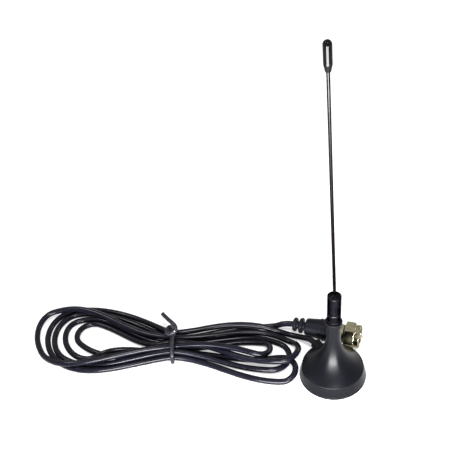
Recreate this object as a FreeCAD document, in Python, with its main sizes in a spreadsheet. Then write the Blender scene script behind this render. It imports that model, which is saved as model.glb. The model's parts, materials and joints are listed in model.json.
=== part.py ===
import FreeCAD, Part
import math
import os

import Sketcher

Vector = FreeCAD.Vector
doc = FreeCAD.newDocument("whip_antenna")

# Driving sizes in millimetres and degrees, one cell each
driving_sizes = [
    # bell housing, from the floor up
    ("base_radius", 15.0),
    ("rim_clearance", 0.2),
    ("lip_top", 1.25),
    ("lip_edge", 0.3),
    ("reveal_depth", 0.35),
    ("reveal_height", 0.3),
    ("band_inset", 0.15),
    ("band_taper", 1.0),
    ("band_top", 6.1),
    ("crease_round", 0.5),
    ("flare_radius", 23.0),
    ("neck_radius", 3.15),
    ("collar_overhang", 0.6),
    ("collar_height", 2.3),
    ("collar_edge", 0.3),
    ("collar_top", 34.8),
    # hollow of the housing
    ("rim_wall", 2.2),
    ("upper_wall", 2.25),
    ("upper_hollow_top", 6.3),
    ("throat_radius", 4.6),
    ("throat_top", 13.5),
    # cable outlet
    ("outlet_angle", 112.0),
    ("outlet_height", 6.0),
    ("outlet_radius", 2.55),
    ("outlet_reach", 15.2),
    ("outlet_edge", 0.4),
    ("cable_diameter", 2.8),
    ("cable_hole_clearance", 0.1),
    ("cable_tail_inset", 0.1),
    ("lead_straight", 6.3),
    # magnet stack
    ("pad_thickness", 0.8),
    ("stack_clearance", 0.1),
    ("magnet_gap", 1.8),
    ("magnet_hole_radius", 3.0),
    ("magnet_thickness", 2.6),
    ("plate_thickness", 0.8),
    ("plate_hole_radius", 2.2),
    # mast foot
    ("seat_clearance", 0.05),
    ("neck_wall", 0.8),
    ("insert_length", 12.0),
    ("insert_flange_inset", 0.9),
    ("insert_flange_height", 0.7),
    ("stud_radius", 1.5),
    ("stud_length", 6.0),
    ("feed_wire_radius", 0.4),
    ("feed_wire_bend", 4.0),
    ("braid_width", 2.4),
    ("braid_thickness", 0.45),
    ("braid_length", 3.2),
    # sleeve that carries the whip
    ("sleeve_radius", 3.0),
    ("sleeve_length", 14.1),
    ("sleeve_foot_edge", 0.5),
    ("sleeve_groove_height", 3.9),
    ("sleeve_groove_width", 0.45),
    ("sleeve_groove_depth", 0.25),
    ("sleeve_top_edge", 0.3),
    ("sleeve_crown", 0.9),
    ("whip_socket_depth", 7.0),
    # whip and its tip
    ("whip_radius", 0.67),
    ("whip_lean", 2.2),
    ("whip_bend_radius", 90.0),
    ("whip_length", 105.4),
    ("tip_radius", 1.65),
    ("tip_length", 11.6),
    ("tip_skirt", 2.6),
    ("tip_foot_radius", 1.1),
    ("tip_socket_depth", 5.0),
    # plug, along its own axis from the cable end
    ("plug_heading", -21.8),
    ("plug_base_gap", 0.65),
    ("plug_setback", 23.84),
    ("boot_tail_radius", 3.2),
    ("boot_front_radius", 5.4),
    ("boot_cone_length", 17.4),
    ("boot_length", 21.4),
    ("boot_edge", 0.5),
    ("rib_width", 1.9),
    ("rib_slot_width", 1.1),
    ("rib_core_radius", 1.9),
    ("boot_ring_height", 0.25),
    ("boot_ring_width", 0.7),
    ("boot_ring_place", 13.0),
    ("boot_ring_spacing", 1.6),
    ("ferrule_radius", 4.3),
    ("ferrule_start", 16.4),
    ("ferrule_length", 8.4),
    ("post_radius", 2.8),
    ("post_wall", 0.5),
    ("post_tail", 4.6),
    ("post_flange_radius", 4.1),
    ("post_flange_height", 1.0),
    ("nut_across_flats", 11.0),
    ("nut_hex_length", 4.6),
    ("nut_collar_radius", 5.35),
    ("nut_collar_length", 2.5),
    ("nut_corner_break", 0.55),
    ("nut_neck_depth", 0.4),
    ("nut_neck_width", 0.5),
    ("nut_rear_wall", 1.1),
    ("nut_thread_radius", 4.45),
    ("nut_mouth_edge", 0.4),
    ("nut_play", 0.3),
    ("pin_radius", 0.5),
    ("pin_root_radius", 0.7),
    ("pin_reach", 1.95),
    ("pin_point", 0.3),
    ("plug_lead_straight", 4.2),
    # tied hank of cable
    ("hank_height", 7.2),
    ("hank_edge", 2.0),
    ("tie_x", -72.6),
    ("tie_front_y", 13.6),
    ("tie_back_y", 30.6),
    ("tie_wire_radius", 0.85),
    ("tie_bend_radius", 2.4),
    ("tie_knot_radius", 1.9),
    ("tie_knot_taper", 0.5),
    ("tie_knot_side", 1.6),
    ("tie_knot_back", 2.6),
    ("tie_knot_rise", 3.4),
]
sheet = doc.addObject("Spreadsheet::Sheet", "size")
for row, (alias, number) in enumerate(driving_sizes, start=1):
    sheet.set("A%d" % row, alias)
    sheet.set("B%d" % row, str(number))
    sheet.setAlias("B%d" % row, alias)
doc.recompute()

# Places that several pieces share, as formulas over the sheet
band_foot_radius = "(size.base_radius - size.band_inset)"
band_top_radius = "(%s - size.band_taper)" % band_foot_radius
collar_radius = "(size.neck_radius + size.collar_overhang)"
lower_hollow_radius = "(size.base_radius - size.rim_wall)"
upper_hollow_radius = "(%s - size.upper_wall)" % band_top_radius
cable_tail_radius = "(%s - size.cable_tail_inset)" % upper_hollow_radius
pad_radius = "(%s - size.stack_clearance)" % lower_hollow_radius
plate_bottom = "(size.pad_thickness + size.magnet_thickness)"
plate_top = "(%s + size.plate_thickness)" % plate_bottom
flare_foot_radius = "(%s - size.crease_round)" % band_top_radius
flare_foot = "(size.band_top + size.crease_round)"
flare_rise = "sqrt(size.flare_radius^2 - (size.flare_radius - %s + size.neck_radius)^2)" % flare_foot_radius
flare_top = "(%s + %s)" % (flare_foot, flare_rise)
cable_radius = "(size.cable_diameter / 2)"
insert_radius = "(size.neck_radius - size.neck_wall - size.seat_clearance)"
insert_bottom = "(size.collar_top - size.insert_length)"
sleeve_bottom = "(size.collar_top + size.insert_flange_height)"
sleeve_top = "(%s + size.sleeve_length)" % sleeve_bottom
ferrule_front = "(size.ferrule_start + size.ferrule_length)"
nut_rear = "(%s + size.nut_play)" % ferrule_front
nut_front = "(%s + size.nut_hex_length + size.nut_collar_length)" % nut_rear
post_flange_rear = "(%s + size.nut_rear_wall + size.nut_play)" % nut_rear
post_front = "(%s + size.post_flange_height)" % post_flange_rear
post_rear = "(%s - size.post_tail)" % ferrule_front


def number_of(formula):
    return float(sheet.evalExpression(formula.replace("size.", "")))


def make_body(label):
    body = doc.addObject("PartDesign::Body", label)
    body.Label = label
    return body


def make_sketch(body, name, plane_role):
    sketch = body.newObject("Sketcher::SketchObject", name)
    plane = [feature for feature in body.Origin.OriginFeatures if feature.Role == plane_role][0]
    sketch.AttachmentSupport = [(plane, "")]
    sketch.MapMode = "FlatFace"
    return sketch


def bind_point(sketch, geometry, end, formulas):
    # holds one end of a line or arc at a place given by two formulas
    for kind, axis, formula in (("DistanceX", -2, formulas[0]), ("DistanceY", -1, formulas[1])):
        number = number_of(formula)
        if formula == "0":
            sketch.addConstraint(Sketcher.Constraint("PointOnObject", geometry, end, axis))
        else:
            index = sketch.addConstraint(Sketcher.Constraint(kind, -1, 1, geometry, end, number))
            sketch.setExpression("Constraints[%d]" % index, formula)


def draw_outline(sketch, corners, bends=None, closed=True):
    # straight sides between corners; a bend replaces the side after a corner: (radius, centre)
    bends = bends or {}
    points = [Vector(number_of(x), number_of(y), 0) for x, y in corners]
    sides = []
    side_count = len(points) if closed else len(points) - 1
    for side in range(side_count):
        start = points[side]
        end = points[(side + 1) % len(points)]
        if side not in bends:
            sides.append((sketch.addGeometry(Part.LineSegment(start, end)), 1, 2))
            continue
        radius, centre = bends[side]
        hub = Vector(number_of(centre[0]), number_of(centre[1]), 0)
        first = math.atan2(start.y - hub.y, start.x - hub.x)
        last = math.atan2(end.y - hub.y, end.x - hub.x)
        turns_left = (last - first) % (2 * math.pi) < math.pi
        angles = (first, last) if turns_left else (last, first)
        circle = Part.Circle(hub, Vector(0, 0, 1), number_of(radius))
        geometry = sketch.addGeometry(Part.ArcOfCircle(circle, angles[0], angles[1]))
        sides.append((geometry, 1, 2) if turns_left else (geometry, 2, 1))
    for side, (geometry, start_end, last_end) in enumerate(sides):
        if closed or side:
            before = sides[side - 1]
            sketch.addConstraint(Sketcher.Constraint("Coincident", before[0], before[2], geometry, start_end))
        bind_point(sketch, geometry, start_end, corners[side])
    if not closed:
        bind_point(sketch, sides[-1][0], sides[-1][2], corners[-1])
    for side, (radius, centre) in bends.items():
        index = sketch.addConstraint(Sketcher.Constraint("Radius", sides[side][0], number_of(radius)))
        sketch.setExpression("Constraints[%d]" % index, radius)


def draw_circle(sketch, radius, centre=("0", "0")):
    hub = Vector(number_of(centre[0]), number_of(centre[1]), 0)
    geometry = sketch.addGeometry(Part.Circle(hub, Vector(0, 0, 1), number_of(radius)))
    index = sketch.addConstraint(Sketcher.Constraint("Radius", geometry, number_of(radius)))
    sketch.setExpression("Constraints[%d]" % index, radius)
    bind_point(sketch, geometry, 3, centre)


def check_cut(feature):
    if feature.Shape.Volume > feature.BaseFeature.Shape.Volume - 0.01:
        raise SystemExit("%s cuts nothing" % feature.Name)


def turn(body, name, corners, bends=None, cut=False):
    # a turned form about the body's Z axis, added to it or cut from it
    sketch = make_sketch(body, name + "_profile", "XZ_Plane")
    draw_outline(sketch, corners, bends)
    feature = body.newObject("PartDesign::Groove" if cut else "PartDesign::Revolution", name)
    feature.Profile = sketch
    feature.ReferenceAxis = (sketch, ["V_Axis"])
    feature.Angle = 360
    doc.recompute()
    if cut:
        check_cut(feature)
    return feature


def pad(body, name, sketch, length, both_ways=False, reverse=False):
    feature = body.newObject("PartDesign::Pad", name)
    feature.Profile = sketch
    feature.setExpression("Length", length)
    feature.Midplane = both_ways
    feature.Reversed = reverse
    doc.recompute()
    return feature


def pipe(body, name, profile, spine):
    feature = body.newObject("PartDesign::AdditivePipe", name)
    feature.Profile = profile
    feature.Spine = spine
    doc.recompute()
    return feature


# Bell housing: lip, flared band, trumpet flank, neck and collar, hollow below, cable outlet behind
housing = make_body("base_housing")
turn(housing, "bell", [
    ("0", "size.rim_clearance"),
    ("size.base_radius - size.lip_edge", "size.rim_clearance"),
    ("size.base_radius", "size.rim_clearance + size.lip_edge"),
    ("size.base_radius", "size.lip_top - size.lip_edge / 2"),
    ("size.base_radius - size.lip_edge / 2", "size.lip_top"),
    (band_foot_radius + " - size.reveal_depth", "size.lip_top"),
    (band_foot_radius + " - size.reveal_depth", "size.lip_top + size.reveal_height"),
    (band_foot_radius, "size.lip_top + size.reveal_height"),
    (band_top_radius, "size.band_top"),
    (flare_foot_radius, flare_foot),
    ("size.neck_radius", flare_top),
    ("size.neck_radius", "size.collar_top - size.collar_height - size.collar_overhang"),
    (collar_radius, "size.collar_top - size.collar_height"),
    (collar_radius, "size.collar_top - size.collar_edge"),
    (collar_radius + " - size.collar_edge", "size.collar_top"),
    ("0", "size.collar_top"),
], {
    8: ("size.crease_round", (flare_foot_radius, "size.band_top")),
    9: ("size.flare_radius", ("size.neck_radius + size.flare_radius", flare_top)),
})
outlet = make_sketch(housing, "outlet_section", "XZ_Plane")
draw_circle(outlet, "size.outlet_radius", ("0", "size.outlet_height"))
pad(housing, "outlet", outlet, "size.outlet_reach", reverse=True)
turn(housing, "hollow", [
    ("0", "0"),
    (lower_hollow_radius, "0"),
    (lower_hollow_radius, plate_top),
    (upper_hollow_radius, plate_top),
    (upper_hollow_radius, "size.upper_hollow_top"),
    ("size.throat_radius", "size.throat_top"),
    (insert_radius + " + size.seat_clearance", "size.throat_top"),
    (insert_radius + " + size.seat_clearance", "size.collar_top"),
    ("0", "size.collar_top"),
], cut=True)
cable_hole = make_sketch(housing, "cable_hole_section", "XZ_Plane")
draw_circle(cable_hole, cable_radius + " + size.cable_hole_clearance", ("0", "size.outlet_height"))
bore = housing.newObject("PartDesign::Pocket", "cable_hole")
bore.Profile = cable_hole
bore.setExpression("Length", "size.outlet_reach * 2")
doc.recompute()
check_cut(bore)
outlet_turn = number_of("size.outlet_angle") - 90
housing.Placement = FreeCAD.Placement(Vector(), FreeCAD.Rotation(Vector(0, 0, 1), outlet_turn))

# Rubber foot that closes the housing and rests on the floor
foot = make_body("foot_pad")
foot_section = make_sketch(foot, "foot_section", "XY_Plane")
draw_circle(foot_section, pad_radius)
pad(foot, "foot", foot_section, "size.pad_thickness")

# Ring magnet on the foot
magnet = make_body("base_magnet")
magnet_section = make_sketch(magnet, "magnet_section", "XY_Plane")
draw_circle(magnet_section, lower_hollow_radius + " - size.magnet_gap")
draw_circle(magnet_section, "size.magnet_hole_radius")
pad(magnet, "ring", magnet_section, "size.magnet_thickness")
magnet.setExpression("Placement.Base.z", "size.pad_thickness")

# Steel plate over the magnet, against the housing's ledge
plate = make_body("ground_plate")
plate_section = make_sketch(plate, "plate_section", "XY_Plane")
draw_circle(plate_section, pad_radius)
draw_circle(plate_section, "size.plate_hole_radius")
pad(plate, "disc", plate_section, "size.plate_thickness")
plate.setExpression("Placement.Base.z", plate_bottom)

# Insert in the neck: flange under the sleeve, socket for its stud
insert = make_body("neck_insert")
turn(insert, "bush", [
    ("0", insert_bottom),
    (insert_radius, insert_bottom),
    (insert_radius, "size.collar_top"),
    (collar_radius + " - size.insert_flange_inset", "size.collar_top"),
    (collar_radius + " - size.insert_flange_inset", sleeve_bottom),
    ("size.stud_radius + size.seat_clearance", sleeve_bottom),
    ("size.stud_radius + size.seat_clearance", sleeve_bottom + " - size.stud_length - size.seat_clearance"),
    ("0", sleeve_bottom + " - size.stud_length - size.seat_clearance"),
])

# Centre wire from the stripped cable to the insert, in the plane of the outlet
wire = make_body("feed_wire")
wire_path = make_sketch(wire, "wire_path", "YZ_Plane")
draw_outline(wire_path, [
    (cable_tail_radius, "size.outlet_height"),
    ("size.feed_wire_bend", "size.outlet_height"),
    ("0", "size.outlet_height + size.feed_wire_bend"),
    ("0", insert_bottom),
], {1: ("size.feed_wire_bend", ("size.feed_wire_bend", "size.outlet_height + size.feed_wire_bend"))},
    closed=False)
wire_section = make_sketch(wire, "wire_section", "XZ_Plane")
wire_section.setExpression("AttachmentOffset.Base.z", "-" + cable_tail_radius)
draw_circle(wire_section, "size.feed_wire_radius", ("0", "size.outlet_height"))
doc.recompute()
pipe(wire, "conductor", wire_section, wire_path)
wire.Placement = housing.Placement

# Flattened screen braid, from the end of the cable down onto the steel plate
braid = make_body("braid_tail")
braid_side = make_sketch(braid, "braid_side", "YZ_Plane")
cable_underside = "(size.outlet_height - %s)" % cable_radius
draw_outline(braid_side, [
    (cable_tail_radius + " - size.braid_thickness", cable_underside + " + size.braid_thickness"),
    (cable_tail_radius + " - size.braid_thickness * 2", plate_top + " + size.braid_thickness"),
    (cable_tail_radius + " - size.braid_length", plate_top + " + size.braid_thickness"),
    (cable_tail_radius + " - size.braid_length", plate_top),
    (cable_tail_radius + " - size.braid_thickness", plate_top),
    (cable_tail_radius, cable_underside),
    (cable_tail_radius, cable_underside + " + size.braid_thickness"),
])
pad(braid, "strip", braid_side, "size.braid_width", both_ways=True)
braid.Placement = housing.Placement

# Sleeve: turned foot with stud, groove ring, low crown with the whip's socket
sleeve = make_body("mast_sleeve")
groove_bottom = "(%s + size.sleeve_groove_height)" % sleeve_bottom
groove_top = "(%s + size.sleeve_groove_width)" % groove_bottom
groove_radius = "(size.sleeve_radius - size.sleeve_groove_depth)"
socket_radius = "(size.whip_radius + size.seat_clearance)"
turn(sleeve, "turned_sleeve", [
    ("0", sleeve_bottom + " - size.stud_length"),
    ("size.stud_radius", sleeve_bottom + " - size.stud_length"),
    ("size.stud_radius", sleeve_bottom),
    ("size.sleeve_radius - size.sleeve_foot_edge", sleeve_bottom),
    ("size.sleeve_radius", sleeve_bottom + " + size.sleeve_foot_edge"),
    ("size.sleeve_radius", groove_bottom),
    (groove_radius, groove_bottom),
    (groove_radius, groove_top),
    ("size.sleeve_radius", groove_top),
    ("size.sleeve_radius", sleeve_top + " - size.sleeve_top_edge"),
    ("size.sleeve_radius - size.sleeve_top_edge", sleeve_top),
    (socket_radius, sleeve_top + " + size.sleeve_crown"),
    (socket_radius, sleeve_top + " - size.whip_socket_depth"),
    ("0", sleeve_top + " - size.whip_socket_depth"),
])

# Whip: straight in its socket, a slight bend above the crown, then a long straight leaning run
rod = make_body("whip_rod")
rod_foot = sleeve_top + " - size.whip_socket_depth"
bend_foot = "(%s + size.sleeve_crown)" % sleeve_top
bend_run = "(size.whip_bend_radius * sin(size.whip_lean * 1 deg))"
bend_shift = "(size.whip_bend_radius * (1 - cos(size.whip_lean * 1 deg)))"
rod_end_shift = "(%s + size.whip_length * sin(size.whip_lean * 1 deg))" % bend_shift
rod_end = "(%s + %s + size.whip_length * cos(size.whip_lean * 1 deg))" % (bend_foot, bend_run)
rod_path = make_sketch(rod, "rod_path", "XZ_Plane")
draw_outline(rod_path, [
    ("0", rod_foot),
    ("0", bend_foot),
    (bend_shift, "%s + %s" % (bend_foot, bend_run)),
    (rod_end_shift, rod_end),
], {1: ("size.whip_bend_radius", ("size.whip_bend_radius", bend_foot))}, closed=False)
rod_section = make_sketch(rod, "rod_section", "XY_Plane")
rod_section.setExpression("AttachmentOffset.Base.z", rod_foot)
draw_circle(rod_section, "size.whip_radius")
doc.recompute()
pipe(rod, "wire", rod_section, rod_path)
# the drawn lean runs towards +X, so the finished rod is turned half round to lean towards -X
rod.Placement = FreeCAD.Placement(Vector(), FreeCAD.Rotation(Vector(0, 0, 1), 180))

# Bullet tip: tapered skirt, straight flank and a round nose, pushed over the end of the whip
tip = make_body("whip_tip")
tip_shoulder = "(size.tip_length - size.tip_radius - size.tip_socket_depth)"
tip_socket = "(size.whip_radius + size.seat_clearance)"
turn(tip, "bullet", [
    (tip_socket, "-size.tip_socket_depth"),
    ("size.tip_foot_radius", "-size.tip_socket_depth"),
    ("size.tip_radius", "size.tip_skirt - size.tip_socket_depth"),
    ("size.tip_radius", tip_shoulder),
    ("0", "size.tip_length - size.tip_socket_depth"),
    ("0", "size.seat_clearance"),
    (tip_socket, "size.seat_clearance"),
], {3: ("size.tip_radius", ("0", tip_shoulder))})
tip.Placement = FreeCAD.Placement(
    Vector(-number_of(rod_end_shift), 0, number_of(rod_end)),
    FreeCAD.Rotation(Vector(0, 1, 0), -number_of("size.whip_lean")),
)

# Plug frame: local Z runs from the cable end to the pin, a flat of the nut lies on the floor
heading = math.radians(number_of("size.plug_heading"))
plug_axis = Vector(math.cos(heading), math.sin(heading), 0)
plug_up = Vector(0, 0, 1)
plug_side = plug_up.cross(plug_axis)
corner_reach = "(size.nut_across_flats / sqrt(3))"
plug_offset = number_of("%s + %s + size.plug_base_gap" % (band_top_radius, corner_reach))
plug_level = number_of("size.nut_across_flats / 2")
plug_tail = plug_side * plug_offset - plug_axis * number_of("size.plug_setback") + plug_up * plug_level
plug_place = FreeCAD.Placement(plug_tail, FreeCAD.Rotation(plug_side, plug_up, plug_axis))

# Moulded boot: cone with two strain-relief ribs at the cable and two fine rings further on
boot = make_body("plug_boot")
boot_slope = "((size.boot_front_radius - size.boot_tail_radius) / size.boot_cone_length)"


def boot_radius(place):
    return "size.boot_tail_radius + %s * (%s)" % (boot_slope, place)


boot_corners = [("0", "0")]
rib_start = "0"
for rib in range(2):
    rib_end = "%s + size.rib_width" % rib_start
    slot_end = "%s + size.rib_slot_width" % rib_end
    boot_corners += [
        (boot_radius(rib_start) + " - size.boot_edge", rib_start),
        (boot_radius(rib_start + " + size.boot_edge"), rib_start + " + size.boot_edge"),
        (boot_radius(rib_end + " - size.boot_edge"), rib_end + " - size.boot_edge"),
        (boot_radius(rib_end) + " - size.boot_edge", rib_end),
        ("size.rib_core_radius", rib_end),
        ("size.rib_core_radius", slot_end),
    ]
    rib_start = slot_end
boot_corners += [
    (boot_radius(rib_start) + " - size.boot_edge", rib_start),
    (boot_radius(rib_start + " + size.boot_edge"), rib_start + " + size.boot_edge"),
]
for ring in range(2):
    ring_start = "size.boot_ring_place + size.boot_ring_spacing * %d" % ring
    ring_end = ring_start + " + size.boot_ring_width"
    boot_corners += [
        (boot_radius(ring_start), ring_start),
        (boot_radius(ring_start) + " + size.boot_ring_height", ring_start),
        (boot_radius(ring_end) + " + size.boot_ring_height", ring_end),
        (boot_radius(ring_end), ring_end),
    ]
boot_corners += [
    ("size.boot_front_radius", "size.boot_cone_length"),
    ("size.boot_front_radius", "size.boot_length - size.boot_edge"),
    ("size.boot_front_radius - size.boot_edge", "size.boot_length"),
    ("size.ferrule_radius + size.seat_clearance", "size.boot_length"),
    ("size.ferrule_radius + size.seat_clearance", "size.ferrule_start"),
    ("size.post_radius", "size.ferrule_start"),
    ("size.post_radius", post_rear),
    ("0", post_rear),
]
turn(boot, "moulding", boot_corners)

# Metal ferrule in the boot, and the flanged post that holds the nut on
ferrule = make_body("plug_ferrule")
turn(ferrule, "collar", [
    ("size.post_radius + size.seat_clearance", "size.ferrule_start"),
    ("size.ferrule_radius", "size.ferrule_start"),
    ("size.ferrule_radius", ferrule_front + " - size.boot_edge"),
    ("size.ferrule_radius - size.boot_edge", ferrule_front),
    ("size.post_radius + size.seat_clearance", ferrule_front),
])
post = make_body("plug_post")
post_bore = "(size.post_radius - size.post_wall)"
turn(post, "flanged_tube", [
    (post_bore, post_rear),
    ("size.post_radius", post_rear),
    ("size.post_radius", post_flange_rear),
    ("size.post_flange_radius", post_flange_rear),
    ("size.post_flange_radius", post_front),
    (post_bore, post_front),
])
insulator = make_body("plug_insulator")
turn(insulator, "dielectric", [
    ("size.pin_root_radius + size.seat_clearance", post_rear),
    (post_bore + " - size.seat_clearance", post_rear),
    (post_bore + " - size.seat_clearance", post_front),
    ("size.pin_root_radius + size.seat_clearance", post_front),
])
pin = make_body("plug_pin")
pin_tip = "(%s + size.pin_reach)" % nut_front
turn(pin, "centre_pin", [
    ("0", post_rear),
    ("size.pin_root_radius", post_rear),
    ("size.pin_root_radius", post_front),
    ("size.pin_radius", post_front),
    ("size.pin_radius", pin_tip + " - size.pin_point"),
    ("size.pin_radius - size.pin_point", pin_tip),
    ("0", pin_tip),
])

# Coupling nut: hexagon behind, turned neck, round collar in front, lipped thread bore
nut = make_body("plug_nut")
hexagon = make_sketch(nut, "hexagon", "XY_Plane")
half_flats = "(size.nut_across_flats / 2)"
half_side = "(size.nut_across_flats / 2 / sqrt(3))"
draw_outline(hexagon, [
    (corner_reach, "0"),
    (half_side, half_flats),
    ("-" + half_side, half_flats),
    ("-" + corner_reach, "0"),
    ("-" + half_side, "-" + half_flats),
    (half_side, "-" + half_flats),
])
hexagon.setExpression("AttachmentOffset.Base.z", nut_rear)
pad(nut, "hex", hexagon, "size.nut_hex_length")
collar_rear = "(%s + size.nut_hex_length)" % nut_rear
turn(nut, "front_collar", [
    ("0", collar_rear + " - size.nut_neck_width"),
    ("size.nut_collar_radius - size.nut_neck_depth", collar_rear + " - size.nut_neck_width"),
    ("size.nut_collar_radius - size.nut_neck_depth", collar_rear + " + size.nut_neck_width"),
    ("size.nut_collar_radius", collar_rear + " + size.nut_neck_width"),
    ("size.nut_collar_radius", nut_front + " - size.nut_mouth_edge"),
    ("size.nut_collar_radius - size.nut_mouth_edge", nut_front),
    ("0", nut_front),
])
for end_name, end_place, inward in (("rear", nut_rear, "+"), ("front", collar_rear, "-")):
    turn(nut, "corner_break_" + end_name, [
        ("%s - size.nut_corner_break" % corner_reach, end_place),
        ("%s + size.nut_corner_break" % corner_reach, end_place),
        ("%s + size.nut_corner_break" % corner_reach, "%s %s size.nut_corner_break" % (end_place, inward)),
    ], cut=True)
turn(nut, "thread_bore", [
    ("0", nut_rear),
    ("size.post_radius + size.nut_play", nut_rear),
    ("size.post_radius + size.nut_play", nut_rear + " + size.nut_rear_wall"),
    ("size.nut_thread_radius", nut_rear + " + size.nut_rear_wall"),
    ("size.nut_thread_radius", nut_front + " - size.nut_mouth_edge"),
    ("size.nut_thread_radius + size.nut_mouth_edge / 2", nut_front),
    ("0", nut_front),
], cut=True)
for piece in (boot, ferrule, post, insulator, pin, nut):
    piece.Placement = plug_place


def rounded_wire(points, radius_of):
    # straight runs joined by tangent arcs; radius_of gives the arc at a corner
    edges = []
    place = points[0]
    for index in range(1, len(points) - 1):
        corner = points[index]
        before = (corner - points[index - 1]).normalize()
        after = (points[index + 1] - corner).normalize()
        turn_angle = before.getAngle(after)
        radius = radius_of(index, turn_angle)
        reach = radius * math.tan(turn_angle / 2)
        start = corner - before * reach
        end = corner + after * reach
        toward = (after - before).normalize()
        middle = corner + toward * (radius / math.cos(turn_angle / 2) - radius)
        edges.append(Part.LineSegment(place, start).toShape())
        edges.append(Part.Arc(start, middle, end).toShape())
        place = end
    edges.append(Part.LineSegment(place, points[-1]).toShape())
    return Part.Wire(edges)


def tube_along(path, radius):
    start = path.Edges[0]
    direction = start.tangentAt(start.FirstParameter)
    ring = Part.Wire(Part.makeCircle(radius, start.valueAt(start.FirstParameter), direction))
    return path.makePipeShell([ring], True, True)


def make_cord(label, points):
    # each arc is as large as its two runs allow
    radii = []

    def radius_of(index, turn_angle):
        runs = [(points[index] - points[index - 1]).Length, (points[index + 1] - points[index]).Length]
        radii.append(0.45 * min(runs) / math.tan(turn_angle / 2))
        return radii[-1]

    path = rounded_wire(points, radius_of)
    radius = number_of(cable_radius)
    cord = doc.addObject("Part::Feature", label)
    cord.Label = label
    cord.Shape = tube_along(path, radius)
    section_volume = math.pi * radius ** 2 * path.Length
    print(label, "radii", ["%.1f" % value for value in radii], "length %.1f" % path.Length,
          "volume over section times length %.4f" % (cord.Shape.Volume / section_volume))
    return cord


# Lead from the housing: straight out of the outlet, down to the floor, then over the other lead
outlet_direction = housing.Placement.Rotation.multVec(Vector(0, 1, 0))
outlet_level = Vector(0, 0, number_of("size.outlet_height"))
lead_start = outlet_level + outlet_direction * number_of(cable_tail_radius)
base_lead = make_cord("cable_lead_base", [
    lead_start,
    lead_start + outlet_direction * number_of("size.lead_straight"),
    Vector(-10.6, 20.9, 3.3),
    Vector(-15.6, 24.5, 1.6),
    Vector(-21.4, 27.3, 1.9),
    Vector(-28.2, 29.4, 4.0),
    Vector(-36.5, 31.2, 4.75),
    Vector(-45.5, 32.0, 4.75),
    Vector(-54.5, 31.2, 4.8),
    Vector(-62.0, 29.9, 4.95),
])

# Lead to the plug: out of the boot, down behind the first lead, then under it
plug_lead = make_cord("cable_lead_plug", [
    plug_tail,
    plug_tail - plug_axis * number_of("size.plug_lead_straight"),
    Vector(-22.0, 31.0, 3.7),
    Vector(-26.2, 32.0, 2.1),
    Vector(-31.5, 32.6, 1.45),
    Vector(-38.5, 31.9, 1.45),
    Vector(-46.0, 30.3, 1.45),
    Vector(-53.5, 29.0, 1.6),
    Vector(-60.5, 28.1, 2.0),
])

# Hank: outer form of the bundled turns, wide at the left loops and waisted at the tie
hank = make_body("cable_hank")
hank_outline = make_sketch(hank, "hank_outline", "XY_Plane")
hank_points = [
    Vector(-140.6, 41.0, 0),
    Vector(-137.0, 50.0, 0),
    Vector(-128.5, 55.0, 0),
    Vector(-116.0, 53.5, 0),
    Vector(-98.0, 47.0, 0),
    Vector(-82.0, 37.0, 0),
    Vector(-70.0, 31.5, 0),
    Vector(-45.0, 31.5, 0),
    Vector(-28.0, 28.5, 0),
    Vector(-18.0, 22.0, 0),
    Vector(-15.6, 12.0, 0),
    Vector(-16.4, 1.0, 0),
    Vector(-25.0, -4.2, 0),
    Vector(-37.0, -1.6, 0),
    Vector(-54.0, 7.5, 0),
    Vector(-72.0, 14.6, 0),
    Vector(-88.0, 13.6, 0),
    Vector(-106.0, 10.6, 0),
    Vector(-122.0, 13.5, 0),
    Vector(-134.0, 24.0, 0),
]
rounded_outline = Part.BSplineCurve()
rounded_outline.interpolate(hank_points, PeriodicFlag=True)
hank_outline.addGeometry(rounded_outline)
hank_slab = pad(hank, "slab", hank_outline, "size.hank_height")
hank_rounding = hank.newObject("PartDesign::Fillet", "rounding")
hank_rounding.Base = (hank_slab, ["Edge%d" % (index + 1) for index, edge in enumerate(hank_slab.Shape.Edges)
                                  if abs(edge.CenterOfMass.z - number_of("size.hank_height")) < 0.01])
hank_rounding.setExpression("Radius", "size.hank_edge")
doc.recompute()

# Twist tie: a wire loop round the waist of the hank, a twisted knot behind and two free ends
tie_x = number_of("size.tie_x")
tie_front = number_of("size.tie_front_y")
tie_back = number_of("size.tie_back_y")
tie_top = number_of("size.hank_height + size.tie_wire_radius")
wire_radius = number_of("size.tie_wire_radius")
tie_bend = number_of("size.tie_bend_radius")
loop_middle = (tie_front + tie_back) / 2
loop_path = rounded_wire([
    Vector(tie_x, loop_middle, wire_radius),
    Vector(tie_x, tie_front, wire_radius),
    Vector(tie_x, tie_front, tie_top),
    Vector(tie_x, tie_back, tie_top),
    Vector(tie_x, tie_back, wire_radius),
    Vector(tie_x, loop_middle, wire_radius),
], lambda index, turn_angle: tie_bend)
loop = tube_along(loop_path, wire_radius)
knot_radius = number_of("size.tie_knot_radius")
knot_foot = Vector(tie_x, tie_back - tie_bend, tie_top)
knot_axis = Vector(*[number_of("size.tie_knot_" + way) for way in ("side", "back", "rise")])
knot_tip_radius = knot_radius - number_of("size.tie_knot_taper")
knot = Part.makeCone(knot_radius, knot_tip_radius, knot_axis.Length, knot_foot, knot_axis)
free_end = tube_along(rounded_wire([
    knot_foot + knot_axis * 0.4,
    knot_foot + Vector(-0.8, 3.2, 3.2),
    knot_foot + Vector(-4.4, 9.6, 3.4),
], lambda index, turn_angle: tie_bend), wire_radius)
tie = doc.addObject("Part::Feature", "twist_tie")
tie.Label = "twist_tie"
tie.Shape = loop.fuse([knot, free_end]).removeSplitter()

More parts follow.
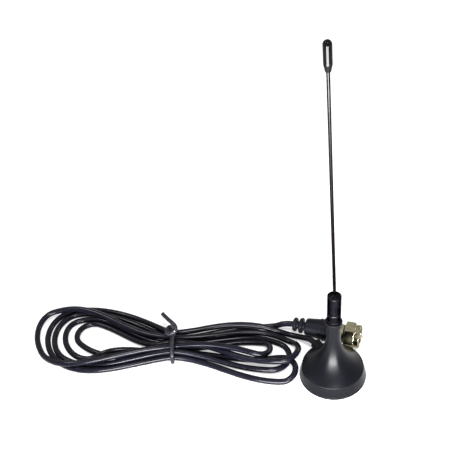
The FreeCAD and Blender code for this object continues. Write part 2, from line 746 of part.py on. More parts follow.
doc.recompute()
pieces = [item for item in doc.Objects if item.TypeId == "PartDesign::Body" or item in
          (base_lead, plug_lead, tie)]
for item in doc.Objects:
    if "Invalid" in item.State or "Error" in item.State:
        raise SystemExit("%s failed: %s" % (item.Label, item.State))
for piece in pieces:
    if piece.Shape.isNull() or not piece.Shape.isValid() or not piece.Shape.Solids:
        raise SystemExit("%s has no valid solid" % piece.Label)
os.makedirs("parts", exist_ok=True)
for piece in pieces:
    piece.Shape.exportStep("parts/%s.step" % piece.Label)
    box = piece.Shape.optimalBoundingBox(False)
    print("%-16s volume %9.1f  x %7.1f %7.1f  y %6.1f %6.1f  z %6.1f %6.1f" % (
        piece.Label, piece.Shape.Volume, box.XMin, box.XMax, box.YMin, box.YMax, box.ZMin, box.ZMax))
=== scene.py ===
import bpy
import json
import math
from mathutils import Matrix, Vector, geometry


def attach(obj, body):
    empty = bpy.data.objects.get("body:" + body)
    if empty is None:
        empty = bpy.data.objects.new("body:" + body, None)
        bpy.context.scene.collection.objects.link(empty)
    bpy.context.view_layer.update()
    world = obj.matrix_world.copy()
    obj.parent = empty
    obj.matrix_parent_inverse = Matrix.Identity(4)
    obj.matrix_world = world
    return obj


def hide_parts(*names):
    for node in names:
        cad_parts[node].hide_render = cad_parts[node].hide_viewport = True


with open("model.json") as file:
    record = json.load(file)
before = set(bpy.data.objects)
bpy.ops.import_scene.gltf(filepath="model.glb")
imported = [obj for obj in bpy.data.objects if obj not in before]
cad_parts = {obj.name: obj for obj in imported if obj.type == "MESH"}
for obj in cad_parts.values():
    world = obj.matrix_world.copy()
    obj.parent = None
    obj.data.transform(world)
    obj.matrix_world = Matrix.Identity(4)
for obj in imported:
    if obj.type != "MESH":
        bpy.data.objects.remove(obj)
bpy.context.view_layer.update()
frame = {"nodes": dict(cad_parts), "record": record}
nodes = frame["nodes"]
print("frame loaded:", len(nodes), "nodes")

# plug axis, used by the pieces and finishes that follow it
plugTail = Vector((-0.0143918, 0.0282131, 0.0055))
plugHeading = math.radians(-21.8)
plugAxis = Vector((math.cos(plugHeading), math.sin(plugHeading), 0))


def clearSelection():
    if bpy.context.object and bpy.context.object.mode != "OBJECT":
        bpy.ops.object.mode_set(mode="OBJECT")
    bpy.ops.object.select_all(action="DESELECT")


def pickOnly(piece):
    clearSelection()
    piece.select_set(True)
    bpy.context.view_layer.objects.active = piece


# camera where the photographer stood
camera = {
    "place": (-0.04248, -0.24237, 0.28724),
    "forward": (0, 0.7782, -0.6280),
    "right": (0.9963, -0.0539, -0.0667),
    "lens": 64.67,
    "sensorWidth": 36,
    "nearest": 0.01,
}


def setCamera(c):
    clearSelection()
    bpy.ops.object.camera_add(location=c["place"])
    cam = bpy.context.object
    back = -Vector(c["forward"]).normalized()
    right = Vector(c["right"]).normalized()
    up = back.cross(right).normalized()
    turn = Matrix((right, up, back)).transposed()
    cam.rotation_euler = turn.to_euler()
    cam.data.sensor_width = c["sensorWidth"]
    cam.data.lens = c["lens"]
    cam.data.clip_start = c["nearest"]
    bpy.context.scene.camera = cam


setCamera(camera)
print("camera set")

# cable: a lead from the housing's outlet, the turns of the tied hank, a lead to the plug's boot
cable = {
    "diameter": 0.0028,
    "length": 1.31,
    "stepsAlong": 9,
    "stepsRound": 8,
    "leadFromBase": [
        (-0.0043, 0.0107, 0.006), (-0.0067, 0.0165, 0.006), (-0.0106, 0.0209, 0.0033),
        (-0.0156, 0.0245, 0.0016), (-0.0214, 0.0273, 0.0019), (-0.0282, 0.0294, 0.0040),
        (-0.0365, 0.0312, 0.00475), (-0.0455, 0.0320, 0.00475), (-0.0545, 0.0312, 0.0048),
        (-0.0620, 0.0299, 0.00495),
    ],
    "leadToPlug": [
        (-0.0605, 0.0289, 0.0019), (-0.0535, 0.0304, 0.0015), (-0.0460, 0.0315, 0.00145),
        (-0.0385, 0.0322, 0.00145), (-0.0315, 0.0323, 0.00145), (-0.0264, 0.0316, 0.0016),
        (-0.0222, 0.0306, 0.0028), (-0.0184, 0.0297, 0.0050), (-0.0144, 0.0282, 0.0055),
    ],
}

# hank: ten strands pass the tie in two staggered layers, and each lobe swings out to one side,
# round an oval eye and back; the turn runs round the eye in degrees, and the heights are those of
# the first leg's two handles, the eye's start, crown and end, and the second leg's two handles
hank = {
    "tieX": -0.0726,
    "firstSlot": 0.0163,
    "slotPitch": 0.0014,
    "layers": (0.0030, 0.0054),
    "legPoints": 6,
    "eyePoints": 7,
    "legSwing": 0.36,
    "lobes": [
        {"side": -1, "slot": 9, "slope": 1.10,
         "eye": (-0.1178, 0.0346), "radii": (0.0158, 0.0203), "lean": 20, "turn": (73, 216),
         "heights": (-0.0001, 0.0018, 0.0014, 0.0014, 0.0014, 0.0022, 0.0000)},
        {"side": 1, "slot": 0, "slope": -0.08,
         "eye": (-0.0226, 0.0030), "radii": (0.0063, 0.0063), "lean": 0, "turn": (-94, 86),
         "heights": (0.0000, 0.0022, 0.0013, 0.0038, 0.0040, -0.0008, 0.0020)},
        {"side": -1, "slot": 2, "slope": 0.05,
         "eye": (-0.1121, 0.0362), "radii": (0.0075, 0.0077), "lean": 3, "turn": (214, 61),
         "heights": (-0.0001, 0.0023, 0.0014, 0.0014, 0.0014, 0.0015, 0.0007)},
        {"side": 1, "slot": 5, "slope": 0.07,
         "eye": (-0.0227, 0.0140), "radii": (0.0090, 0.0093), "lean": 20, "turn": (-120, 28),
         "heights": (0.0037, 0.0026, 0.0063, 0.0067, 0.0011, 0.0035, 0.0042)},
        {"side": -1, "slot": 7, "slope": 0.18,
         "eye": (-0.1233, 0.0325), "radii": (0.0136, 0.0223), "lean": 30, "turn": (81, 184),
         "heights": (0.0020, 0.0064, 0.0035, 0.0014, 0.0014, 0.0068, 0.0054)},
        {"side": 1, "slot": 3, "slope": -0.09,
         "eye": (-0.0323, 0.0162), "radii": (0.0057, 0.0057), "lean": 0, "turn": (-118, 78),
         "heights": (0.0081, 0.0066, 0.0064, 0.0040, 0.0013, 0.0022, 0.0000)},
        {"side": -1, "slot": 4, "slope": 0.12,
         "eye": (-0.1151, 0.0338), "radii": (0.0097, 0.0139), "lean": 23, "turn": (260, 83),
         "heights": (-0.0039, 0.0109, 0.0014, 0.0014, 0.0014, 0.0021, 0.0000)},
        {"side": 1, "slot": 6, "slope": -0.12,
         "eye": (-0.0271, 0.0128), "radii": (0.0091, 0.0089), "lean": 4, "turn": (47, -109),
         "heights": (0.0005, 0.0016, 0.0015, 0.0013, 0.0019, -0.0003, 0.0041)},
        {"side": -1, "slot": 1, "slope": 0.13,
         "eye": (-0.1188, 0.0356), "radii": (0.0118, 0.0159), "lean": 5, "turn": (232, 83),
         "heights": (0.0025, 0.0010, 0.0014, 0.0014, 0.0014, 0.0027, -0.0004)},
    ],
    "lastSlot": 8,
    "lastSlope": -0.77,
}


def tiePlace(h, slot):
    return Vector((h["tieX"], h["firstSlot"] + slot * h["slotPitch"], h["layers"][slot % 2]))


def eyePlace(lobe, angle, height):
    # point on the leaning oval and the direction in which its angle grows
    lean = Matrix.Rotation(math.radians(lobe["lean"]), 3, "Z")
    wide, deep = lobe["radii"]
    spoke = lean @ Vector((wide * math.cos(angle), deep * math.sin(angle), 0))
    tangent = lean @ Vector((-wide * math.sin(angle), deep * math.cos(angle), 0))
    return Vector((*lobe["eye"], height)) + spoke, tangent.normalized()


def layLeg(h, start, startWay, startHeight, end, endWay, endHeight):
    # guide points of one strand between the tie and an eye, without its two ends
    swing = (end - start).to_2d().length * h["legSwing"]
    leaving = start + startWay * swing
    leaving.z = startHeight
    arriving = end - endWay * swing
    arriving.z = endHeight
    return geometry.interpolate_bezier(start, leaving, arriving, end, h["legPoints"] + 1)[1:-1]


def layLobe(h, lobe, nextSlot, nextSlope):
    first, last = (math.radians(angle) for angle in lobe["turn"])
    sense = 1 if last > first else -1
    leave, rise, entry, crown, farEnd, fall, arrive = lobe["heights"]
    eye = []
    for step in range(h["eyePoints"]):
        share = step / (h["eyePoints"] - 1)
        if share < 0.5:
            height = entry + (crown - entry) * 2 * share
        else:
            height = crown + (farEnd - crown) * (2 * share - 1)
        eye.append(eyePlace(lobe, first + (last - first) * share, height))
    outward = Vector((lobe["side"], lobe["slope"], 0)).normalized()
    inward = Vector((-lobe["side"], nextSlope, 0)).normalized()
    (eyeStart, startTangent), (eyeEnd, endTangent) = eye[0], eye[-1]
    start, end = tiePlace(h, lobe["slot"]), tiePlace(h, nextSlot)
    strand = [start]
    strand += layLeg(h, start, outward, leave, eyeStart, startTangent * sense, rise)
    strand += [place for place, tangent in eye]
    strand += layLeg(h, eyeEnd, endTangent * sense, fall, end, inward, arrive)
    return strand


def layCable(c, h):
    route = [Vector(place) for place in c["leadFromBase"]]
    followers = [(lobe["slot"], lobe["slope"]) for lobe in h["lobes"][1:]]
    followers.append((h["lastSlot"], h["lastSlope"]))
    for lobe, (nextSlot, nextSlope) in zip(h["lobes"], followers):
        route += layLobe(h, lobe, nextSlot, nextSlope)
    route.append(tiePlace(h, h["lastSlot"]))
    route += [Vector(place) for place in c["leadToPlug"]]
    line = bpy.data.curves.new("cableCord", "CURVE")
    line.dimensions = "3D"
    spline = line.splines.new("NURBS")
    spline.points.add(len(route) - 1)
    for point, place in zip(spline.points, route):
        point.co = (*place, 1)
    spline.order_u = 3
    spline.use_endpoint_u = True
    line.resolution_u = c["stepsAlong"]
    line.bevel_depth = c["diameter"] / 2
    line.bevel_resolution = c["stepsRound"]
    line.use_fill_caps = True
    cord = bpy.data.objects.new("cableCord", line)
    bpy.context.collection.objects.link(cord)
    return cord


cableCord = layCable(cable, hank)
print("cable laid:", len(cableCord.data.splines[0].points), "points")

# wire tie: one coated wire round the waist of the hank, its ends twisted together on top
tie = {
    "wireRadius": 0.00100,
    "coreRadius": 0.00050,
    "coreLength": 0.0008,
    "coreEdge": 0.00012,
    "coreSides": 20,
    "stepsAlong": 8,
    "stepsRound": 5,
    "smoothUpTo": math.radians(40),
    "places": [
        (-0.0765, 0.0378, 0.0101), (-0.0752, 0.0352, 0.0108), (-0.0736, 0.0325, 0.0112),
        (-0.0717, 0.0299, 0.0114), (-0.0703, 0.0280, 0.0110), (-0.0703, 0.0262, 0.0100),
        (-0.0716, 0.0250, 0.0091), (-0.0722, 0.0230, 0.0086), (-0.0724, 0.0200, 0.0082),
        (-0.0725, 0.0170, 0.0077), (-0.0726, 0.0147, 0.0066), (-0.0726, 0.0138, 0.0044),
        (-0.0727, 0.0138, 0.0022), (-0.0727, 0.0148, 0.0009), (-0.0727, 0.0180, 0.0009),
        (-0.0727, 0.0225, 0.0009), (-0.0727, 0.0270, 0.0009), (-0.0727, 0.0303, 0.0013),
        (-0.0727, 0.0314, 0.0034), (-0.0727, 0.0314, 0.0060), (-0.0728, 0.0308, 0.0080),
        (-0.0733, 0.0296, 0.0094), (-0.0744, 0.0278, 0.0099), (-0.0748, 0.0258, 0.0098),
        (-0.0738, 0.0244, 0.0099), (-0.0722, 0.0241, 0.0103), (-0.0710, 0.0247, 0.0109),
    ],
}


def bendTie(t):
    clearSelection()
    bpy.ops.curve.primitive_nurbs_path_add()
    wire = bpy.context.object
    wire.name = "twistTieWire"
    wire.data.splines.clear()
    spline = wire.data.splines.new("NURBS")
    spline.points.add(len(t["places"]) - 1)
    for point, place in zip(spline.points, t["places"]):
        point.co = (*place, 1)
    spline.order_u = 3
    spline.use_endpoint_u = True
    wire.data.resolution_u = t["stepsAlong"]
    wire.data.bevel_depth = t["wireRadius"]
    wire.data.bevel_resolution = t["stepsRound"]
    wire.data.use_fill_caps = True
    bpy.ops.object.convert(target="MESH")
    bpy.ops.object.shade_smooth_by_angle(angle=t["smoothUpTo"])
    return bpy.context.object


def cutTieCore(t):
    # bare wire at the cut end: a short pin with a broken edge
    end = Vector(t["places"][-1])
    along = end - Vector(t["places"][-2])
    clearSelection()
    bpy.ops.mesh.primitive_cylinder_add(vertices=t["coreSides"], radius=t["coreRadius"],
                                        depth=t["coreLength"], location=end,
                                        rotation=along.to_track_quat("Z", "Y").to_euler())
    core = bpy.context.object
    core.name = "twistTieCore"
    bpy.ops.object.transform_apply(location=True, rotation=True, scale=True)
    rounding = core.modifiers.new("edge", "BEVEL")
    rounding.width = t["coreEdge"]
    rounding.segments = 2
    bpy.ops.object.modifier_apply(modifier="edge")
    bpy.ops.object.shade_smooth_by_angle(angle=t["smoothUpTo"])
    return core


tieWire = bendTie(tie)
tieCore = cutTieCore(tie)
print("tie bent")

# thread in the coupling nut: a screwed triangle along the plug axis
thread = {
    "rootRadius": 0.00447,
    "crestRadius": 0.00416,
    "pitch": 0.000794,
    "rootShare": 0.84,
    "start": 0.0280,
    "turns": 4,
    "steps": 48,
    "mergeWithin": 0.000001,
    "smoothUpTo": math.radians(30),
}


def cutThread(t):
    clearSelection()
    bpy.ops.mesh.primitive_circle_add(vertices=3, radius=t["pitch"] / 2, fill_type="NGON")
    ridge = bpy.context.object
    ridge.name = "nutThread"
    half = t["pitch"] * t["rootShare"] / 2
    corners = [(t["rootRadius"], 0, -half), (t["crestRadius"], 0, 0), (t["rootRadius"], 0, half)]
    for vertex, corner in zip(ridge.data.vertices, corners):
        vertex.co = corner
    pickOnly(ridge)
    bpy.ops.object.mode_set(mode="EDIT")
    bpy.ops.mesh.select_all(action="SELECT")
    bpy.ops.mesh.delete(type="ONLY_FACE")
    bpy.ops.object.mode_set(mode="OBJECT")
    screw = ridge.modifiers.new("screw", "SCREW")
    screw.angle = 2 * math.pi
    screw.screw_offset = t["pitch"]
    screw.iterations = t["turns"]
    screw.steps = screw.render_steps = t["steps"]
    bpy.ops.object.modifier_apply(modifier="screw")
    bpy.ops.object.mode_set(mode="EDIT")
    bpy.ops.mesh.select_all(action="SELECT")
    bpy.ops.mesh.remove_doubles(threshold=t["mergeWithin"])
    bpy.ops.mesh.select_all(action="DESELECT")
    bpy.ops.mesh.select_non_manifold()
    bpy.ops.mesh.fill()
    bpy.ops.mesh.select_all(action="SELECT")
    bpy.ops.mesh.normals_make_consistent(inside=False)
    bpy.ops.object.mode_set(mode="OBJECT")
    ridge.matrix_world = (Matrix.Translation(plugTail + plugAxis * t["start"])
                          @ plugAxis.to_track_quat("Z", "Y").to_matrix().to_4x4())
    bpy.ops.object.transform_apply(location=True, rotation=True, scale=True)
    bpy.ops.object.shade_smooth_by_angle(angle=t["smoothUpTo"])
    return ridge


nutThread = cutThread(thread)
print("nut thread cut")


# small helpers for the finishes
def newFinish(name):
    finish = bpy.data.materials.new(name)
    finish.use_nodes = True
    tree = finish.node_tree
    tree.nodes.clear()
    out = tree.nodes.new("ShaderNodeOutputMaterial")
    shader = tree.nodes.new("ShaderNodeBsdfPrincipled")
    tree.links.new(shader.outputs["BSDF"], out.inputs["Surface"])
    return finish, tree, shader


def objectPoint(tree, centre=(0, 0, 0), turn=(0, 0, 0), stretch=(1, 1, 1)):
    # the object's coordinates as seen from a pattern's own centre, turn and stretch
    coordinate = tree.nodes.new("ShaderNodeTexCoord")
    mapping = tree.nodes.new("ShaderNodeMapping")
    mapping.vector_type = "TEXTURE"
    mapping.inputs["Location"].default_value = centre
    mapping.inputs["Rotation"].default_value = turn
    mapping.inputs["Scale"].default_value = stretch
    tree.links.new(coordinate.outputs["Object"], mapping.inputs["Vector"])
    return mapping.outputs["Vector"]


def axes(tree, vector):
    split = tree.nodes.new("ShaderNodeSeparateXYZ")
    tree.links.new(vector, split.inputs["Vector"])
    return split.outputs["X"], split.outputs["Y"], split.outputs["Z"]


def grain(tree, vector, scale, detail=3.0, rough=0.55):
    noise = tree.nodes.new("ShaderNodeTexNoise")
    noise.inputs["Scale"].default_value = scale
    noise.inputs["Detail"].default_value = detail
    noise.inputs["Roughness"].default_value = rough
    tree.links.new(vector, noise.inputs["Vector"])
    return noise.outputs["Fac"]


def ramp(tree, value, stops, colours):
    mix = tree.nodes.new("ShaderNodeValToRGB")
    for element, position, colour in zip(mix.color_ramp.elements, stops, colours):
        element.position = position
        element.color = (*colour, 1)
    tree.links.new(value, mix.inputs["Fac"])
    return mix.outputs["Color"]


def spread(tree, value, low, high, fromLow=0.3, fromHigh=0.7):
    limit = tree.nodes.new("ShaderNodeMapRange")
    limit.inputs["From Min"].default_value = fromLow
    limit.inputs["From Max"].default_value = fromHigh
    limit.inputs["To Min"].default_value = low
    limit.inputs["To Max"].default_value = high
    tree.links.new(value, limit.inputs["Value"])
    return limit.outputs["Result"]


def sums(tree, kind, first, second=0):
    step = tree.nodes.new("ShaderNodeMath")
    step.operation = kind
    for socket, value in zip(step.inputs, (first, second)):
        if isinstance(value, (int, float)):
            socket.default_value = value
        else:
            tree.links.new(value, socket)
    return step.outputs["Value"]


def relief(tree, shader, height, strength, distance, under=None):
    bump = tree.nodes.new("ShaderNodeBump")
    bump.inputs["Strength"].default_value = strength
    bump.inputs["Distance"].default_value = distance
    tree.links.new(height, bump.inputs["Height"])
    if under is not None:
        tree.links.new(under, bump.inputs["Normal"])
    tree.links.new(bump.outputs["Normal"], shader.inputs["Normal"])
    return bump.outputs["Normal"]


# how far a rounded normal turns from the surface, as a cosine, where the paler edge is full and where it
# ends; the paler edge is partly wear and partly a painted highlight
edgeReach = {"full": 0.86, "none": 0.985, "samples": 6}


def edges(tree, radius):
    # a share that is 1 along the edges of the shape and 0 on its faces, and the normal of rounded edges
    rounded = tree.nodes.new("ShaderNodeBevel")
    rounded.samples = edgeReach["samples"]
    rounded.inputs["Radius"].default_value = radius
    surface = tree.nodes.new("ShaderNodeNewGeometry")
    compare = tree.nodes.new("ShaderNodeVectorMath")
    compare.operation = "DOT_PRODUCT"
    tree.links.new(rounded.outputs["Normal"], compare.inputs[0])
    tree.links.new(surface.outputs["Normal"], compare.inputs[1])
    share = spread(tree, compare.outputs["Value"], 1, 0, edgeReach["full"], edgeReach["none"])
    return share, rounded.outputs["Normal"]


def blend(tree, share, first, second):
    mix = tree.nodes.new("ShaderNodeMix")
    mix.data_type = "RGBA"
    tree.links.new(share, mix.inputs["Factor"])
    for socket, value in ((mix.inputs["A"], first), (mix.inputs["B"], second)):
        if isinstance(value, tuple):
            socket.default_value = (*value, 1)
        else:
            tree.links.new(value, socket)
    return mix.outputs["Result"]


# moulded plastics: fine grain, cloudy gloss, edges a little paler and smoother, partly rubbed by wear and
# partly a painted highlight along the edges
plastics = {
    "housing_plastic": {
        "dark": (0.0008, 0.0009, 0.0017), "light": (0.0015, 0.0017, 0.0030),
        "scuffAndSheen": (0.028, 0.028, 0.034),
        "gloss": (0.30, 0.36), "shine": 0.10, "edge": 0.00025, "darkFoot": (0.0010, 0.0013),
        "grainScale": 5200, "grainDepth": 0.08, "cloudScale": 90,
    },
    "tip_plastic": {
        "dark": (0.002, 0.002, 0.0022), "light": (0.004, 0.004, 0.0045),
        "scuffAndSheen": (0.014, 0.014, 0.016),
        "gloss": (0.05, 0.08), "shine": 0.08, "edge": 0.00020,
        "grainScale": 3500, "grainDepth": 0.03, "cloudScale": 160,
    },
    "boot_plastic": {
        "dark": (0.0016, 0.0020, 0.0040), "light": (0.0032, 0.0036, 0.0066),
        "scuffAndSheen": (0.026, 0.027, 0.033),
        "gloss": (0.38, 0.50), "shine": 0.09, "edge": 0.00022,
        "grainScale": 4200, "grainDepth": 0.14, "cloudScale": 130,
    },
    "foot_rubber": {
        "dark": (0.010, 0.010, 0.010), "light": (0.020, 0.019, 0.018),
        "scuffAndSheen": (0.034, 0.033, 0.031),
        "gloss": (0.70, 0.85), "shine": 0.20, "edge": 0.00020,
        "grainScale": 1800, "grainDepth": 0.30, "cloudScale": 90,
    },
    "insulator_plastic": {
        "dark": (0.70, 0.68, 0.62), "light": (0.82, 0.81, 0.76),
        "scuffAndSheen": (0.84, 0.83, 0.79),
        "gloss": (0.35, 0.50), "shine": 0.40, "edge": 0.00015,
        "grainScale": 2600, "grainDepth": 0.10, "cloudScale": 200,
    },
    "tie_plastic": {
        "dark": (0.008, 0.008, 0.011), "light": (0.016, 0.016, 0.021),
        "scuffAndSheen": (0.040, 0.040, 0.046),
        "gloss": (0.22, 0.34), "shine": 0.13, "edge": 0.00015,
        "grainScale": 2400, "grainDepth": 0.16, "cloudScale": 350,
    },
    "magnet_ferrite": {
        "dark": (0.030, 0.029, 0.030), "light": (0.060, 0.058, 0.060),
        "scuffAndSheen": (0.090, 0.088, 0.090),
        "gloss": (0.45, 0.65), "shine": 0.40, "edge": 0.00020,
        "grainScale": 2600, "grainDepth": 0.35, "cloudScale": 150,
    },
}

# what all the plastics share
moulding = {
    "cloudStops": (0.32, 0.70),
    "wearScale": 900,
    "wear": (0.2, 1.0),
    "wearGloss": 0.06,
    "footDullness": 0.4,
    "grainHeight": 0.00006,
}


def mouldedPlastic(name, p, m):
    finish, tree, shader = newFinish(name)
    shader.inputs["Specular IOR Level"].default_value = p["shine"]
    here = objectPoint(tree)
    cloud = grain(tree, here, p["cloudScale"], detail=4.0)
    fine = grain(tree, here, p["grainScale"], detail=2.0)
    edge, softened = edges(tree, p["edge"])
    # paler edges: part wear, part painted highlight along the edges
    scuffAndSheenShare = sums(tree, "MULTIPLY", edge, spread(tree, grain(tree, here, m["wearScale"]), *m["wear"]))
    polish = sums(tree, "MULTIPLY", scuffAndSheenShare, m["wearGloss"])
    rough = sums(tree, "SUBTRACT", spread(tree, cloud, *p["gloss"]), polish)
    if "darkFoot" in p:
        # the lip under the groove stays out of reach, so it is duller and gets neither the edge wear nor
        # the painted edge highlight
        height = axes(tree, here)[2]
        scuffAndSheenShare = sums(tree, "MULTIPLY", scuffAndSheenShare, spread(tree, height, 0, 1, *p["darkFoot"]))
        rough = sums(tree, "ADD", rough, spread(tree, height, m["footDullness"], 0, *p["darkFoot"]))
    plain = ramp(tree, cloud, m["cloudStops"], (p["dark"], p["light"]))
    tree.links.new(blend(tree, scuffAndSheenShare, plain, p["scuffAndSheen"]), shader.inputs["Base Color"])
    tree.links.new(rough, shader.inputs["Roughness"])
    relief(tree, shader, fine, p["grainDepth"], m["grainHeight"], under=softened)
    return finish


# metals: tool lines round the base's axis or the plug's, edges brighter, partly polished by handling and
# partly a painted highlight along the edges
metals = {
    "sleeve_metal": {
        "dark": (0.006, 0.0056, 0.0072), "light": (0.011, 0.0104, 0.013),
        "scuffAndSheen": (0.12, 0.12, 0.125),
        "gloss": (0.24, 0.34), "rim": (0.30, 0.30, 0.32), "lineScale": 5200, "lineDepth": 0.12,
    },
    "insert_black": {
        "dark": (0.026, 0.026, 0.028), "light": (0.044, 0.044, 0.048),
        "scuffAndSheen": (0.09, 0.09, 0.095),
        "gloss": (0.28, 0.40), "rim": (0.30, 0.30, 0.30), "lineScale": 3800, "lineDepth": 0.16,
    },
    "nut_nickel": {
        "dark": (0.17, 0.15, 0.09), "light": (0.31, 0.29, 0.20),
        "scuffAndSheen": (0.80, 0.78, 0.66),
        "gloss": (0.07, 0.12), "rim": (0.50, 0.48, 0.40), "lineScale": 4200, "lineDepth": 0.10,
    },
    "pin_metal": {
        "dark": (0.50, 0.44, 0.34), "light": (0.72, 0.66, 0.54),
        "scuffAndSheen": (0.86, 0.82, 0.72),
        "gloss": (0.18, 0.30), "rim": (0.50, 0.46, 0.40), "lineScale": 3600, "lineDepth": 0.10,
    },
    "plate_steel": {
        "dark": (0.46, 0.46, 0.47), "light": (0.62, 0.62, 0.63),
        "scuffAndSheen": (0.72, 0.72, 0.73),
        "gloss": (0.25, 0.40), "rim": (0.80, 0.80, 0.80), "lineScale": 2600, "lineDepth": 0.20,
    },
    "wire_copper": {
        "dark": (0.62, 0.30, 0.18), "light": (0.80, 0.44, 0.28),
        "scuffAndSheen": (0.86, 0.54, 0.38),
        "gloss": (0.22, 0.36), "rim": (0.80, 0.70, 0.60), "lineScale": 2600, "lineDepth": 0.12,
    },
    "braid_tinned": {
        "dark": (0.48, 0.48, 0.49), "light": (0.70, 0.70, 0.71),
        "scuffAndSheen": (0.80, 0.80, 0.81),
        "gloss": (0.28, 0.45), "rim": (0.80, 0.80, 0.80), "lineScale": 1600, "lineDepth": 0.50,
    },
}

# what all the metals share
turning = {
    "cloudScale": 260,
    "cloudStops": (0.30, 0.68),
    "edge": 0.00018,
    "wearScale": 1100,
    "wear": (0.3, 1.0),
    "lineHeight": 0.00003,
}


def turnedMetal(name, m, t, centre=(0, 0, 0), turn=(0, 0, 0)):
    # radius and height about the axis carry the tool lines
    finish, tree, shader = newFinish(name)
    shader.inputs["Metallic"].default_value = 1.0
    shader.inputs["Specular Tint"].default_value = (*m["rim"], 1)
    here = objectPoint(tree, centre, turn)
    x, y, height = axes(tree, here)
    squareX = sums(tree, "MULTIPLY", x, x)
    squareY = sums(tree, "MULTIPLY", y, y)
    radius = sums(tree, "SQRT", sums(tree, "ADD", squareX, squareY))
    joined = tree.nodes.new("ShaderNodeCombineXYZ")
    tree.links.new(radius, joined.inputs["X"])
    tree.links.new(height, joined.inputs["Y"])
    lines = grain(tree, joined.outputs["Vector"], m["lineScale"], detail=2.0)
    cloud = grain(tree, here, t["cloudScale"], detail=4.0)
    edge, softened = edges(tree, t["edge"])
    # paler edges: part wear, part painted highlight along the edges
    scuffAndSheenShare = sums(tree, "MULTIPLY", edge, spread(tree, grain(tree, here, t["wearScale"]), *t["wear"]))
    plain = ramp(tree, cloud, t["cloudStops"], (m["dark"], m["light"]))
    tree.links.new(blend(tree, scuffAndSheenShare, plain, m["scuffAndSheen"]), shader.inputs["Base Color"])
    tree.links.new(spread(tree, cloud, *m["gloss"]), shader.inputs["Roughness"])
    relief(tree, shader, lines, m["lineDepth"], t["lineHeight"], under=softened)
    return finish


# drawn whip rod: long fine lines, dark plating, with a painted reflection that keeps the foot darker and
# the colour lighter towards the tip
rod = {
    "foot": (0.006, 0.0045, 0.0053),
    "tip": (0.0105, 0.0100, 0.0103),
    # painted shade: the dark rim tint darkens the reflection along the rod's edges
    "rim": (0.10, 0.09, 0.08),
    "gloss": (0.16, 0.26),
    "footHeight": 0.075,
    "tipHeight": 0.160,
    "reflectionStops": (0.05, 0.95),
    "unevenness": 0.08,
    "cloudScale": 300,
    "cloudStretch": 4,
    "lineScale": 9000,
    "lineStretch": 50,
    "lineDepth": 0.06,
    "lineHeight": 0.00002,
}


def drawnRod(r):
    finish, tree, shader = newFinish("whip_metal")
    shader.inputs["Metallic"].default_value = 1.0
    shader.inputs["Specular Tint"].default_value = (*r["rim"], 1)
    lines = grain(tree, objectPoint(tree, stretch=(1, 1, r["lineStretch"])), r["lineScale"], detail=2.0)
    cloud = grain(tree, objectPoint(tree, stretch=(1, 1, r["cloudStretch"])), r["cloudScale"], detail=4.0)
    # painted reflection: the colour ramps by height from the dark foot to the lighter tip
    height = spread(tree, axes(tree, objectPoint(tree))[2], 0, 1, r["footHeight"], r["tipHeight"])
    uneven = sums(tree, "ADD", height, spread(tree, cloud, -r["unevenness"], r["unevenness"]))
    paintedReflection = ramp(tree, uneven, r["reflectionStops"], (r["foot"], r["tip"]))
    tree.links.new(paintedReflection, shader.inputs["Base Color"])
    tree.links.new(spread(tree, cloud, *r["gloss"]), shader.inputs["Roughness"])
    relief(tree, shader, lines, r["lineDepth"], r["lineHeight"])
    return finish


# extruded jacket of the cable: glossy and slightly uneven, with a fine grain and duller patches
jacket = {
    "dark": (0.0012, 0.0012, 0.003),
    "light": (0.0028, 0.0028, 0.0066),
    "gloss": (0.17, 0.26),
    "shine": 0.14,
    "cloudScale": 110,
    "cloudStops": (0.30, 0.70),
    "waveScale": 420,
    "waveDepth": 0.04,
    "waveHeight": 0.0002,
    "grainScale": 2600,
    "grainDepth": 0.03,
    "grainHeight": 0.00005,
}


def cableJacket(j):
    finish, tree, shader = newFinish("cable_jacket")
    shader.inputs["Specular IOR Level"].default_value = j["shine"]
    here = objectPoint(tree)
    cloud = grain(tree, here, j["cloudScale"], detail=4.0)
    fine = grain(tree, here, j["grainScale"], detail=2.0)
    wave = grain(tree, here, j["waveScale"], detail=1.0)
    plain = ramp(tree, cloud, j["cloudStops"], (j["dark"], j["light"]))
    tree.links.new(plain, shader.inputs["Base Color"])
    tree.links.new(spread(tree, cloud, *j["gloss"]), shader.inputs["Roughness"])
    uneven = relief(tree, shader, wave, j["waveDepth"], j["waveHeight"])
    relief(tree, shader, fine, j["grainDepth"], j["grainHeight"], under=uneven)
    return finish


plugMetals = ("nut_nickel", "pin_metal")
plugTurn = (0, math.pi / 2, plugHeading)
finishes = {name: mouldedPlastic(name, plastic, moulding) for name, plastic in plastics.items()}
for name, metal in metals.items():
    if name in plugMetals:
        finishes[name] = turnedMetal(name, metal, turning, plugTail, plugTurn)
    else:
        finishes[name] = turnedMetal(name, metal, turning)
finishes["whip_metal"] = drawnRod(rod)
finishes["cable_jacket"] = cableJacket(jacket)
print("finishes made:", len(finishes))


def dress(piece, finish):
    piece.data.materials.clear()
    piece.data.materials.append(finishes[finish])


for subpart in frame["record"]["subparts"]:
    node = nodes[subpart["node"]]
    for materialSlot in node.material_slots:
        materialSlot.material = finishes[subpart["material_slot"]]
dress(cableCord, "cable_jacket")
dress(tieWire, "tie_plastic")
dress(tieCore, "braid_tinned")
dress(nutThread, "nut_nickel")

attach(cableCord, "antenna")
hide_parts("cable_lead_base", "cable_lead_plug", "cable_hank")
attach(tieWire, "antenna")
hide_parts("twist_tie")
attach(tieCore, "antenna")
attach(nutThread, "coupling_nut")
print("pieces dressed and joined to their bodies")

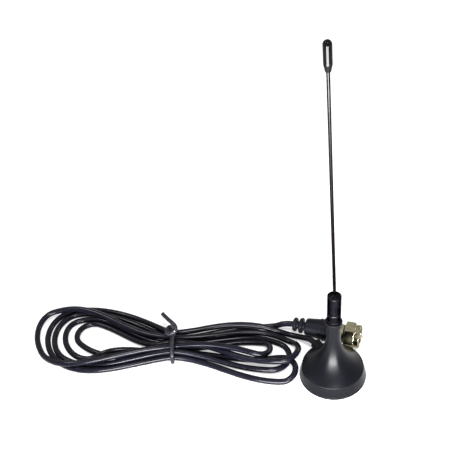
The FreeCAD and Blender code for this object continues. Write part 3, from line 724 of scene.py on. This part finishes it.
# pale floor before a white backdrop, dim fill light from the surroundings, and four lamps
stage = {
    "floorSize": 1.6,
    "floorDrop": 0.00002,
    "floorColour": (0.62, 0.62, 0.63),
    "floorRoughness": 0.9,
    "floorGlow": 0.52,
    "wallLevel": 0.12,
    "ceilingLevel": 0.10,
    "wallTop": 0.03,
    "ceilingFoot": 0.10,
    "lamps": {
        "frontLamp": {
            "place": (-0.035, -0.19, 0.040), "aim": (0, 0, 0.05),
            "size": (0.19, 0.050), "watts": 3.4,
        },
        "overheadLamp": {
            "place": (0.05, -0.45, 1.15), "aim": (0, 0, 0),
            "size": (0.21, 0.21), "watts": 12.0,
        },
        "leftLamp": {
            "place": (-0.68, 0.15, 1.05), "aim": (-0.09, 0.03, 0),
            "size": (0.17, 0.17), "watts": 5.0,
        },
        "rimLamp": {
            "place": (0.40, 0.30, 0.22), "aim": (0, 0, 0.03),
            "size": (0.10, 0.20), "watts": 0.5,
        },
    },
}


def backdropRays(tree):
    # 1 for the rays that see the white backdrop: those of the camera, of gloss and through glass
    rays = tree.nodes.new("ShaderNodeLightPath")
    seen = sums(tree, "MAXIMUM", rays.outputs["Is Camera Ray"], rays.outputs["Is Glossy Ray"])
    return sums(tree, "MAXIMUM", seen, rays.outputs["Is Transmission Ray"])


def setFloor(s):
    clearSelection()
    bpy.ops.mesh.primitive_plane_add(size=s["floorSize"], location=(0, 0, -s["floorDrop"]))
    floor = bpy.context.object
    floor.name = "studioFloor"
    finish, tree, shader = newFinish("floor_paper")
    shader.inputs["Base Color"].default_value = (*s["floorColour"], 1)
    shader.inputs["Roughness"].default_value = s["floorRoughness"]
    shader.inputs["Emission Color"].default_value = (1, 1, 1, 1)
    glow = sums(tree, "MULTIPLY", backdropRays(tree), s["floorGlow"])
    tree.links.new(glow, shader.inputs["Emission Strength"])
    floor.data.materials.append(finish)


def setWorld(s):
    world = bpy.data.worlds.new("studio")
    bpy.context.scene.world = world
    world.use_nodes = True
    sky = world.node_tree
    background = sky.nodes["Background"]
    background.inputs["Color"].default_value = (1, 1, 1, 1)
    direction = sky.nodes.new("ShaderNodeTexCoord")
    rise = axes(sky, direction.outputs["Generated"])[2]
    level = spread(sky, rise, s["wallLevel"], s["ceilingLevel"], s["wallTop"], s["ceilingFoot"])
    sky.links.new(sums(sky, "MAXIMUM", level, backdropRays(sky)), background.inputs["Strength"])


def setLamps(s):
    for name, lamp in s["lamps"].items():
        clearSelection()
        bpy.ops.object.light_add(type="AREA", location=lamp["place"])
        light = bpy.context.object
        light.name = name
        light.data.shape = "RECTANGLE"
        light.data.size, light.data.size_y = lamp["size"]
        light.data.energy = lamp["watts"]
        light.visible_camera = False
        aim = Vector(lamp["aim"]) - Vector(lamp["place"])
        light.rotation_euler = aim.to_track_quat("-Z", "Y").to_euler()


setFloor(stage)
setWorld(stage)
setLamps(stage)
bpy.context.scene.view_settings.view_transform = "Standard"
print("stage set")

bpy.context.view_layer.update()
